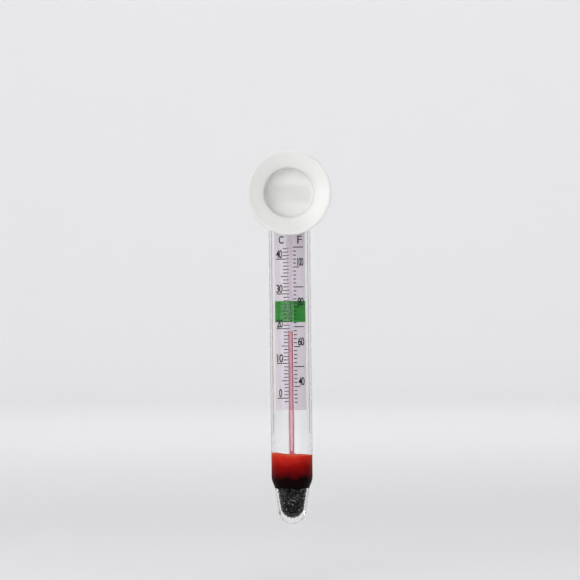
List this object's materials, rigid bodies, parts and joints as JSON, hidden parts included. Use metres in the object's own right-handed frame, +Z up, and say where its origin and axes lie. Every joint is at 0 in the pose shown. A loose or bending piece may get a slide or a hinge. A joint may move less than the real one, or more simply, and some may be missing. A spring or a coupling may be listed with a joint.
{
  "type": "aquarium thermometer",
  "caption": "Upright glass tube thermometer with a paper scale, a red spirit thread, wax and shot ballast in its tip, and a suction cup whose collar grips the tube.",
  "frame": {"origin": "centre of the suction cup's rim, on the plane that presses on the aquarium's glass", "axes": "+Z up along the tube, towards its domed top; -Y out of the suction cup, the way the scale faces; +X to the right as the scale is read"},
  "size_m": [0.0244, 0.0203, 0.1087],
  "materials": {
    "clear_glass": "gloss",
    "stem_glass": "gloss",
    "red_spirit": "gloss",
    "scale_paper": "matte",
    "black_ink": "matte",
    "green_ink": "matte",
    "sealing_wax": "satin",
    "black_shot": "satin",
    "clear_pvc": "satin"
  },
  "bodies": {
    "cup": {"suction_cup": "clear_pvc"},
    "collar": {"tube_collar": "clear_pvc"},
    "thermometer": {"glass_envelope": "clear_glass", "capillary_stem": "stem_glass", "alcohol_reservoir": "red_spirit", "scale_card": "scale_paper", "wax_plug": "sealing_wax", "ballast_shot": "black_shot"},
    "thread": {"alcohol_column": "red_spirit"}
  },
  "joints": [
    {"name": "tube_turn", "type": "hinge", "parent": "cup", "child": "collar", "pos_m": [0, 0.0133, 0], "axis": [0, 0, 1], "continuous": true},
    {"name": "tube_slide", "type": "slide", "parent": "collar", "child": "thermometer", "axis": [0, 0, 1], "range_m": [-0.0116, 0.0776]},
    {"name": "spirit_rise", "type": "slide", "parent": "thermometer", "child": "thread", "axis": [0, 0, 1], "range_m": [-0.0208, 0.024], "deforming": ["alcohol_column"]}
  ]
}
